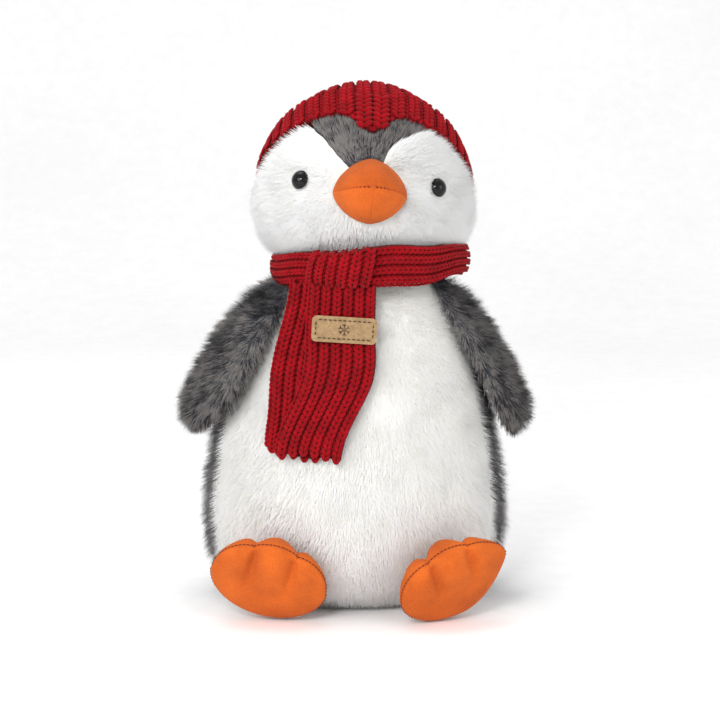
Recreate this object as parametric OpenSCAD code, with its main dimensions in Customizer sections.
// A sitting plush penguin in a knitted hat and scarf, built panel by panel as it is sewn.
// Millimetres. +Z is up, the toy faces -Y, and its own left side is +X.
// The origin is the middle of the flat base, on the surface it sits on.

/* [Body] */
// Width of the body at its widest level
body_w = 196; // [186:1:202]
// Height of the widest level
body_wide_z = 57; // [52:1:62]
// Depth of the belly in front of the middle
belly_d = 80; // [76:1:84]
// Depth of the back behind the middle
back_d = 74; // [68:1:80]
// Thickness of the plush with its pile
pile_t = 4; // [3:0.5:5]
// Angle from the front to the seam between belly and back
belly_angle = 68; // [60:1:74]

/* [Head] */
// Width of the head
head_w = 138; // [134:1:140]
// Depth of the head
head_d = 122; // [118:1:124]
// Height of the head above its middle
head_up = 79; // [76:1:81]
// Depth of the head below its middle
head_down = 39; // [37:1:40]
// Height of the head's middle above the base
head_z = 252; // [252:1:256]
// Sideways place of the head's middle
head_x = 5.5; // [0:0.5:6]
// How far the head leans to the toy's left
head_roll = 3.4; // [0:0.1:4]
// How far the head looks to the toy's left
head_yaw = 3.5; // [0:0.1:5]

/* [Beak and eyes] */
// Width of the beak
beak_w = 43; // [40:1:48]
// Height of the beak
beak_h = 38; // [36:1:43]
// How far the beak stands out of the face
beak_out = 24; // [18:1:26]
// Diameter of the safety eyes
eye_d = 13; // [10:0.5:14]
// Angle from the front to each eye
eye_azimuth = 42.5; // [40:0.1:46]
// Angle of the eyes above the head's middle
eye_elevation = 15; // [12:0.5:18]

/* [Hat] */
// Thickness of the knit
knit_t = 2.7; // [2.4:0.1:2.8]
// Width of the turned-up cuff, as an angle over the head
cuff_angle = 17; // [12:1:20]

/* [Scarf] */
// Width of the knitted strip in front
strip_w = 23; // [20:1:24]
// Half width of the neck band, side to side
wrap_half_w = 64.5; // [64:0.5:66]
// Half depth of the neck band, front to back
wrap_half_d = 67.5; // [67:0.5:69]
// Height of the lower ends of the tails
tail_end_z = 103; // [98:1:108]

/* [Flippers] */
// Half width of a flipper
flipper_half_w = 29; // [26:1:30]
// Thickness of a flipper with its pile
flipper_t = 19; // [15:1:20]
// Height of the flipper tips
flipper_tip_z = 106; // [102:1:112]

/* [Feet] */
// Width of a foot
foot_w = 74; // [66:1:76]
// Length of a foot from heel to toes
foot_l = 58; // [52:1:60]
// How far a foot tips forward from upright
foot_lean = 25; // [22:1:34]

/* [Label] */
// Width of the label
label_w = 40; // [36:1:40]
// Height of the label
label_h = 16; // [14:1:18]

/* [Hidden] */
grey = "#5f5e61";
white = "#f1efe8";
orange = "#e8701f";
red = "#a80f1e";
fill = "#fafafa";
gap = 0.3;
// The body closes over the neck at this height, and its seam to the head is a little lower
body_top_z = 218;
neck_z = 211;
body_levels = [0, 2, 5, 10, 18, 28, 42, 57, 76, 96, 116, 136, 154, 170, 184, 194, 202, 207, neck_z];
stuffing_levels = [44, 57, 76, 96, 116, 136, 154, 170, 184, 194, 202, 207, neck_z - 1];
head_levels = [-35, -28, -20, -10, 0, 10, 20, 28, 34, 39, 43, 46, 52, 62, 72, 82];
// Elevation and angle at which crown, cheek and rear head panels meet under the hat
meet_e = 46;
meet_a = 45.5;
// The pile lies flat under the hat, so the panels there are lower than the cheeks
flat_out = -4.4;
flat_t = 2.6;
hat_in = -3;
bag_r = 58;
bag_h = 38;
bag_t = 1;
beak_z = 13.5;
eye_dir = toward(eye_azimuth, eye_elevation);

// ---------------------------------------------------------------- skins from nets of points
function flip(face) = [for (k = [len(face) - 1 : -1 : 0]) face[k]];
function starts(net) = [for (i = 0, s = 0; i < len(net); s = s + len(net[i]), i = i + 1) s];
function size(net) = len([for (row = net) each row]);
function columns(net) = max([for (row = net) len(row)]);
function at(net, s, i, j) = s[i] + (len(net[i]) == 1 ? 0 : j % len(net[i]));
function whole(face) = face[0] != face[1] && face[1] != face[2] && face[0] != face[2];
function halves(a, b, c, d) = [for (f = [[c, b, a], [d, c, a]]) if (whole(f)) f];

// A closed skin between two nets with the same layout. Rows go up and points go to the right,
// seen from outside. A row of one point is a tip. A ring's rows close on themselves.
module skin(outer, inner, ring = false) {
    s = starts(outer);
    n = size(outer);
    top = len(outer) - 1;
    w = columns(outer);
    steps = ring ? w - 1 : w - 2;
    faces = concat(
        [for (i = [0 : top - 1], j = [0 : steps]) each halves(at(outer, s, i, j),
            at(outer, s, i, j + 1), at(outer, s, i + 1, j + 1), at(outer, s, i + 1, j))],
        [for (i = [0 : top - 1], j = [0 : steps]) each halves(n + at(outer, s, i, j),
            n + at(outer, s, i + 1, j), n + at(outer, s, i + 1, j + 1),
            n + at(outer, s, i, j + 1))],
        ring ? [] : [for (i = [0 : top - 1]) each halves(at(outer, s, i, 0),
            at(outer, s, i + 1, 0), n + at(outer, s, i + 1, 0), n + at(outer, s, i, 0))],
        ring ? [] : [for (i = [0 : top - 1]) each halves(at(outer, s, i, w - 1),
            n + at(outer, s, i, w - 1), n + at(outer, s, i + 1, w - 1),
            at(outer, s, i + 1, w - 1))],
        [for (j = [0 : steps]) each halves(at(outer, s, 0, j), n + at(outer, s, 0, j),
            n + at(outer, s, 0, j + 1), at(outer, s, 0, j + 1))],
        [for (j = [0 : steps]) each halves(at(outer, s, top, j), at(outer, s, top, j + 1),
            n + at(outer, s, top, j + 1), n + at(outer, s, top, j))]);
    polyhedron(points = [for (net = [outer, inner]) each [for (row = net) each row]],
        faces = faces);
}

// A closed lump from rows that close on themselves, with flat ends or tips
module lump(rows) {
    s = starts(rows);
    top = len(rows) - 1;
    w = columns(rows);
    faces = concat(
        [for (i = [0 : top - 1], j = [0 : w - 1]) each halves(at(rows, s, i, j),
            at(rows, s, i, j + 1), at(rows, s, i + 1, j + 1), at(rows, s, i + 1, j))],
        len(rows[0]) > 1 ? [[for (j = [0 : w - 1]) s[0] + j]] : [],
        len(rows[top]) > 1 ? [flip([for (j = [0 : w - 1]) s[top] + j])] : []);
    polyhedron(points = [for (row = rows) each row], faces = faces);
}

// ---------------------------------------------------------------- body
// Share of the full width at height z: a barrel that closes over the neck and tucks in at the base
function swell(z) = z > body_wide_z
    ? pow(1 - pow((z - body_wide_z) / (body_top_z - body_wide_z), 1.3), 0.25)
    : pow(1 - pow((body_wide_z - z) / (body_wide_z + 1.5), 3), 1 / 3);
function body_half_w(z) = body_w / 2 * swell(z);
// Point on the body at angle a (0 in front, 90 at the toy's left) and height z, moved outwards
function on_body(a, z, out = 0) = [(body_half_w(z) + out) * sin(a),
    -((cos(a) > 0 ? belly_d : back_d) * swell(z) + out) * cos(a), z];
function body_net(from, to, steps, out) = [for (z = body_levels)
    [for (j = [0 : steps]) on_body(from + (to - from) * j / steps, z, out)]];

module body_panel(from, to, steps)
    skin(body_net(from, to, steps, 0), body_net(from, to, steps, -pile_t));

module belly_panel() color(white) body_panel(-belly_angle, belly_angle, 14);
module back_panel_left() color(grey) body_panel(belly_angle, 180, 11);
module back_panel_right() color(grey) body_panel(180, 360 - belly_angle, 11);

module base_panel() color(grey) linear_extrude(3)
    polygon([for (a = [0 : 10 : 350]) let (p = on_body(a, 0, -pile_t - gap)) [p.x, p.y]]);

module body_stuffing() color(fill) lump([for (z = stuffing_levels)
    [for (a = [0 : 12 : 348]) on_body(a, z, -pile_t - gap)]]);

module bag_outline(r, h) polygon([for (t = [-90 : 10 : 90]) [r * cos(t), h / 2 * sin(t)]]);
module pellet_bag() color("#d8d2c2") translate([0, 0, 3.2 + bag_h / 2]) rotate_extrude()
    difference() {
        bag_outline(bag_r, bag_h);
        bag_outline(bag_r - bag_t, bag_h - 2 * bag_t);
    }
module pellets() color("#e4e4e0") translate([0, 0, 3.2 + bag_h / 2]) rotate_extrude()
    bag_outline(bag_r - bag_t - gap, bag_h - 2 * bag_t - 2 * gap);

module neck_stuffing() color(fill) rotate_extrude()
    polygon([[0, neck_z - 0.6], [30, neck_z - 0.6], [30, 217.4], [0, 220.8]]);

// ---------------------------------------------------------------- head
// Unit vector at azimuth a (0 in front, 90 at the toy's left) and elevation e
function toward(a, e) = [cos(e) * sin(a), -cos(e) * cos(a), sin(e)];
function head_h(z) = z > 0 ? head_up : head_down;
function head_reach(d, out) = 1 / norm([d.x / (head_w / 2 + out), d.y / (head_d / 2 + out),
    d.z / (head_h(d.z) + out)]);
function on_head(d, out = 0) = d * head_reach(d, out);
// Depth of the face at a place seen from the front
function face_y(x, z) = -head_d / 2
    * sqrt(1 - pow(x / (head_w / 2), 2) - pow(z / head_h(z), 2));
// Seam between cheek and rear head, along the hat's edge, and seam between cheek and crown
function side_seam(e) = lookup(e, [[-35, 112], [-13, 105], [-6, 97], [0, 90], [12, 81],
    [24, 71.5], [35, 60.5], [meet_e, meet_a], [60, 70], [82, 90]]);
function crown_seam(e) = e < 16 ? 0 : lookup(e, [[16, 0], [24, 9], [31, 15], [37, 20.5],
    [41, 27], [44, 38], [meet_e, meet_a], [60, 70], [82, 90]]);
function head_arc(e, from, to, steps, out) =
    [for (j = [0 : steps]) on_head(toward(from + (to - from) * j / steps, e), out)];
// Moves a piece modelled round the head's middle to its place on the neck
module on_neck() translate([head_x, 0, head_z]) rotate([0, head_roll, head_yaw]) children();

function cheek_net(out) = concat(
    [for (e = head_levels) if (e < meet_e) head_arc(e, crown_seam(e), side_seam(e), 9, out)],
    [[on_head(toward(meet_a, meet_e), out)]]);
module cheek() color(white) skin(cheek_net(0), cheek_net(-pile_t));
module cheek_left() on_neck() cheek();
module cheek_right() on_neck() mirror([1, 0, 0]) cheek();

function crown_net(out) = concat([[on_head(toward(0, 16), out)]],
    [for (e = head_levels) if (e > 16) head_arc(e, -crown_seam(e), crown_seam(e), 12, out)],
    [[on_head([0, 0, 1], out)]]);
module crown_panel() color(grey) on_neck()
    skin(crown_net(flat_out), crown_net(flat_out - flat_t));

function rear_net(out) = concat(
    [for (e = head_levels) head_arc(e, side_seam(e), 180, 12, out)],
    [[on_head([0, 0, 1], out)]]);
module head_back() color(grey) skin(rear_net(flat_out), rear_net(flat_out - flat_t));
module head_back_left() on_neck() head_back();
module head_back_right() on_neck() mirror([1, 0, 0]) head_back();

stuffing_out = flat_out - flat_t - 3 * gap;
module head_stuffing() color(fill) on_neck() lump(concat([[[0, 0, -29]]],
    [for (e = [-34, -26, -16, -4, 8, 22, 36, 50, 64, 78])
        [for (a = [0 : 12 : 348]) on_head(toward(a, e), stuffing_out)]],
    [[on_head([0, 0, 1], stuffing_out)]]));

// ---------------------------------------------------------------- beak
// Point on the beak: share k of the way from its tip to its rim, at angle t, set in by wall
function on_beak(k, t, wall) = let (x = (beak_w / 2 - wall) * k * cos(t),
    z = beak_z + (beak_h / 2 - wall) * k * sin(t) + 3 * (1 - k * k))
    [x, face_y(x, z) - gap - (beak_out - wall) * pow(1 - k * k, 0.6), z];
// The mouth seam starts level at the tip and falls away to the sides
function mouth(k) = -19 * k;
function beak_net(from, to, drop, wall) = concat(
    [for (k = [1, 0.97, 0.9, 0.75, 0.55, 0.3])
        [for (j = [0 : 12]) on_beak(k, from - drop * mouth(k)
            + (to - from + 2 * drop * mouth(k)) * j / 12, wall)]],
    [[on_beak(0, 0, wall)]]);
module beak_upper() color(orange) on_neck()
    skin(beak_net(180, 0, -1, 0), beak_net(180, 0, -1, 1.6));
module beak_lower() color(orange) on_neck()
    skin(beak_net(0, -180, 1, 0), beak_net(0, -180, 1, 1.6));
module beak_stuffing() color(fill) on_neck() lump(concat(
    [[[0, face_y(0, beak_z) - gap, beak_z]]],
    [for (k = [0.5, 0.93]) [for (t = [0 : -15 : -345])
        let (x = (beak_w / 2 - 2) * k * cos(t), z = beak_z + (beak_h / 2 - 2) * k * sin(t))
        [x, face_y(x, z) - gap, z]]],
    [for (k = [0.93, 0.8, 0.6, 0.3]) [for (t = [0 : -15 : -345]) on_beak(k, t, 2)]],
    [[on_beak(0, 0, 2)]]));

// ---------------------------------------------------------------- eyes
// Stands a piece on the cheek at the eye's place, with its own +Z out of the face
module at_eye() translate(on_head(eye_dir, 0.3))
    rotate([0, 0, eye_azimuth - 90]) rotate([0, 90 - eye_elevation, 0]) children();
// A domed safety eye: dome, flange and shank
module eye() color("#0b0b0c") at_eye() {
    intersection() {
        translate([0, 0, -1.5]) sphere(d = eye_d, $fn = 48);
        translate([0, 0, 1]) cylinder(d = eye_d + 2, h = eye_d, $fn = 48);
    }
    cylinder(d = eye_d - 1.5, h = 1.2, $fn = 48);
    translate([0, 0, -14]) cylinder(d = 3.6, h = 14.2, $fn = 32);
}
module eye_washer() color("#dddddd") at_eye() translate([0, 0, -7.5]) difference() {
    cylinder(d = 14, h = 1.4, $fn = 48);
    translate([0, 0, -1]) cylinder(d = 3.8, h = 4, $fn = 32);
}
module eye_left() on_neck() eye();
module eye_right() on_neck() mirror([1, 0, 0]) eye();
module eye_washer_left() on_neck() eye_washer();
module eye_washer_right() on_neck() mirror([1, 0, 0]) eye_washer();

// ---------------------------------------------------------------- hat
brow_e = 56;
hat_axis = toward(180, 90 - brow_e);
hat_front = toward(0, brow_e);
// Angle from the hat's axis to its edge: level at the brow, raised at the nape, with a dip in front
function hat_edge(t) = 88.5 - 40 * pow((1 - cos(t)) / 2, 4)
    + 9 * exp(-pow((t > 180 ? 360 - t : t) / 9, 2))
    - 12 * exp(-pow((t - 275) / 38, 2)) - 7 * exp(-pow((t - 88) / 34, 2));
function on_hat(k, t, out) = let (h = k * hat_edge(t))
    on_head(cos(h) * hat_axis + sin(h) * (cos(t) * hat_front + sin(t) * [1, 0, 0]), out);
hat_turns = [for (j = [0 : 39]) 9 * j];
function crown_rows(out) = concat(
    [for (k = [1, 0.9, 0.8, 0.66, 0.5, 0.34, 0.18, 0.07]) [for (t = hat_turns) on_hat(k, t, out)]],
    [[on_head(hat_axis, out)]]);
module hat_crown() color(red) on_neck()
    skin(crown_rows(hat_in + knit_t), crown_rows(hat_in), ring = true);
function cuff_rows(out, bulge) = [for (i = [0 : 3]) [for (t = hat_turns)
    on_hat(1 - i / 3 * cuff_angle / hat_edge(t), t, out + bulge * (i % 3 == 0 ? 0 : 1))]];
module hat_cuff() color(red) on_neck()
    skin(cuff_rows(hat_in + 2 * gap + 2 * knit_t, 0.6),
        cuff_rows(hat_in + 2 * gap + knit_t, 0), ring = true);

// ---------------------------------------------------------------- scarf
wrap_x = 6;
function wrap_z(a) = 216.5 + 2.5 * sin(a) + 2.5 * cos(a);
function wrap_h(a) = strip_w - 4 + 4 * cos(a);
// Point on the neck band at angle a, share f of half its height, moved outwards
function on_wrap(a, f, out) = let (r = out + 1.2 * (1 - f * f))
    [wrap_x + (wrap_half_w + r) * sin(a), -(wrap_half_d + r) * cos(a),
        wrap_z(a) + f * wrap_h(a) / 2];
module scarf_wrap() color(red) skin(
    [for (f = [-1, -0.5, 0, 0.5, 1]) [for (a = [0 : 9 : 351]) on_wrap(a, f, 2.2)]],
    [for (f = [-1, -0.5, 0, 0.5, 1]) [for (a = [0 : 9 : 351]) on_wrap(a, f, -1.4)]],
    ring = true);

fold_from = -31;
fold_to = 5;
function fold_net(out, edge) = [for (i = [0 : 6]) let (f = -1 + i / 3) [for (j = [0 : 8])
    let (g = -1 + j / 4, bulge = out * pow(1 - 0.9 * pow(abs(g), 4), 0.5)
        * pow(1 - 0.9 * pow(abs(f), 4), 0.5))
    on_wrap((fold_from + fold_to) / 2 + (fold_to - fold_from) / 2 * g, f,
        edge + bulge)]];
module scarf_fold() color(red) skin(fold_net(9, 2.8), fold_net(0, 2.6));

tail_top_z = 205;
tail_levels = [tail_end_z, 111, 125, 140, 155, 170, 185, 197, tail_top_z];
// Depth of the belly, or of the strip hanging free above it, at place x and height z
function belly_y(x, z, out) = let (depth = max(belly_d * swell(z), 61) + out,
    half = body_half_w(z) + 10 + out) -depth * sqrt(1 - pow(x / half, 2));
// A hanging strip: its middle and width at each height, and how far it lies over the belly
function tail_net(middle, width, out) = [for (z = tail_levels) [for (j = [0 : 6])
    let (x = lookup(z, middle) + lookup(z, width) * (j / 6 - 0.5)) [x, belly_y(x, z, out), z]]];
front_middle = [[tail_end_z, -29], [125, -20], [155, -8], [tail_top_z, -6.5]];
back_middle = [[tail_end_z, -33], [125, -33], [155, -29], [tail_top_z, -18]];
tail_width = [[tail_end_z, 40], [150, 43], [tail_top_z, 40]];
module scarf_tail_back() color(red)
    skin(tail_net(back_middle, tail_width, 5), tail_net(back_middle, tail_width, 1));
module scarf_tail_front() color(red)
    skin(tail_net(front_middle, tail_width, 9.6), tail_net(front_middle, tail_width, 5.4));

label_t = 1.4;
module on_tail() translate([-6, belly_y(-6, 180, 9.6) - 1.9, 181])
    rotate([90 - 7, 3.5, 0]) children();
module rounded(w, h, r) hull() for (x = [-1, 1], y = [-1, 1])
    translate([x * (w / 2 - r), y * (h / 2 - r)]) circle(r = r, $fn = 32);
module label() color("#cdb08a") on_tail() linear_extrude(label_t) rounded(label_w, label_h, 3);
module label_stitches() color("#3a2418") on_tail() {
    for (side = [-1, 1], i = [-5 : 5])
        translate([i * 3, side * (label_h / 2 - 2.4), label_t + 0.35]) cube([1.8, 0.6, 0.6], true);
    for (side = [-1, 1], i = [-1 : 1])
        translate([side * (label_w / 2 - 2.4), i * 3, label_t + 0.35]) cube([0.6, 1.8, 0.6], true);
}

// ---------------------------------------------------------------- flippers
// Half width and thickness as shares of the full ones, at share s from shoulder to tip
function leaf(s) = sqrt(max(1 - pow(s < 0.55 ? (0.55 - s) / 0.55 : (s - 0.55) / 0.45, 3), 0));
function stand_off(s) = 3.4 + 9 * s;
// Point of a flipper lying on the body: share s down it, share u across it, share k of its
// thickness out of it. The flipper starts at angle a and height z, and shrink thins it.
function on_flipper(a, z, s, u, k, shrink, out) =
    let (q = 0.55 + (s - 0.55) * (1 - shrink / 50), h = z + (flipper_tip_z - z) * q,
        half = (flipper_half_w - shrink) * leaf(s),
        turn = a + 15 * q + u * half / (body_half_w(h) + 8) * 57.3)
    on_body(turn, h, stand_off(q) + out
        + k * (flipper_t - shrink) * leaf(s) * sqrt(max(1 - u * u, 0)));
function flipper_net(a, z, k, shrink, out) = concat(
    [[on_flipper(a, z, 1, 0, k, shrink, out)]],
    [for (s = [0.985, 0.94, 0.86, 0.74, 0.6, 0.44, 0.3, 0.18, 0.08, 0.02])
        [for (u = [-1, -0.92, -0.75, -0.5, -0.2, 0.2, 0.5, 0.75, 0.92, 1])
            on_flipper(a, z, s, u, k, shrink, out)]],
    [[on_flipper(a, z, 0, 0, k, shrink, out)]]);
module flipper_outer(a, z) color(grey)
    skin(flipper_net(a, z, 1, 0, 0), flipper_net(a, z, 1, 3.5, 0.01));
module flipper_inner(a, z) color(grey)
    skin(flipper_net(a, z, 0, 0, -0.05), flipper_net(a, z, 0, 0, -2));
module flipper_stuffing(a, z) color(fill)
    skin(flipper_net(a, z, 1, 4.2, 0.2), flipper_net(a, z, 0, 4.2, 0.2));
left_a = 73;
left_z = 200;
right_a = 57;
right_z = 200;
module flipper_left_outer() flipper_outer(left_a, left_z);
module flipper_left_inner() flipper_inner(left_a, left_z);
module flipper_left_stuffing() flipper_stuffing(left_a, left_z);
module flipper_right_outer() mirror([1, 0, 0]) flipper_outer(right_a, right_z);
module flipper_right_inner() mirror([1, 0, 0]) flipper_inner(right_a, right_z);
module flipper_right_stuffing() mirror([1, 0, 0]) flipper_stuffing(right_a, right_z);

// ---------------------------------------------------------------- feet
upper_t = 18;
sole_t = 8;
foot_turns = [for (j = [0 : 29]) 12 * j];
// Outline of a foot: an oval whose toe side is nipped in at two toe dividers
function foot_r(t, w, l) = 1 / norm([cos(t) / (w / 2), sin(t) / (l / 2)])
    - (sin(t) > 0 ? 3 * (1 - sqrt(abs(sin(3 * t)))) * pow(sin(t), 0.5) : 0);
function foot_ring(k, high, inset) = [for (t = foot_turns)
    let (r = foot_r(t, foot_w - 2 * inset, foot_l - 2 * inset) * k)
    [r * cos(t), r * sin(t), high * pow(1 - pow(k, 2.2), 0.55)]];
foot_shares = [1, 0.98, 0.92, 0.82, 0.66, 0.45, 0.22];
function foot_net(high, inset) = concat(
    [for (k = foot_shares) foot_ring(k, high, inset)], [[[0, 0, high]]]);
module foot_half(high) skin(foot_net(high, 0), foot_net(high - 1.6, 1.6), ring = true);
module foot_core() lump(concat([[[0, 0, 2.2 - upper_t]]],
    [for (k = [0.45, 0.8, 0.97]) foot_ring(k, 2.2 - upper_t, 2.2)],
    [for (k = [1, 0.92, 0.7, 0.4]) foot_ring(k, sole_t - 2.2, 2.2)],
    [[[0, 0, sole_t - 2.2]]]));
foot_y = -89;
foot_z = 28;
// Stands a foot up on its heel at that distance from the middle, sole to the front, with its
// toes turned outwards by yaw and raised by roll
module on_heel(x, yaw, roll) translate([x, foot_y, foot_z]) rotate([90 + foot_lean, 0, yaw])
    rotate([0, 0, roll]) children();
module on_left_heel() on_heel(61.5, 26, 24) children();
module on_right_heel() mirror([1, 0, 0]) on_heel(52.5, 8, 16) children();
module foot_sole() color(orange) foot_half(sole_t);
module foot_upper() color(orange) mirror([0, 0, 1]) foot_half(upper_t);
module foot_left_upper() on_left_heel() foot_upper();
module foot_left_sole() on_left_heel() foot_sole();
module foot_left_stuffing() color(fill) on_left_heel() foot_core();
module foot_right_upper() on_right_heel() foot_upper();
module foot_right_sole() on_right_heel() foot_sole();
module foot_right_stuffing() color(fill) on_right_heel() foot_core();

belly_panel();
back_panel_left();
back_panel_right();
base_panel();
body_stuffing();
pellet_bag();
pellets();
neck_stuffing();
scarf_wrap();
scarf_fold();
scarf_tail_front();
scarf_tail_back();
label();
label_stitches();
crown_panel();
head_back_left();
head_back_right();
cheek_left();
cheek_right();
head_stuffing();
beak_upper();
beak_lower();
beak_stuffing();
eye_left();
eye_right();
eye_washer_left();
eye_washer_right();
hat_crown();
hat_cuff();
flipper_left_outer();
flipper_left_inner();
flipper_left_stuffing();
flipper_right_outer();
flipper_right_inner();
flipper_right_stuffing();
foot_left_upper();
foot_left_sole();
foot_left_stuffing();
foot_right_upper();
foot_right_sole();
foot_right_stuffing();
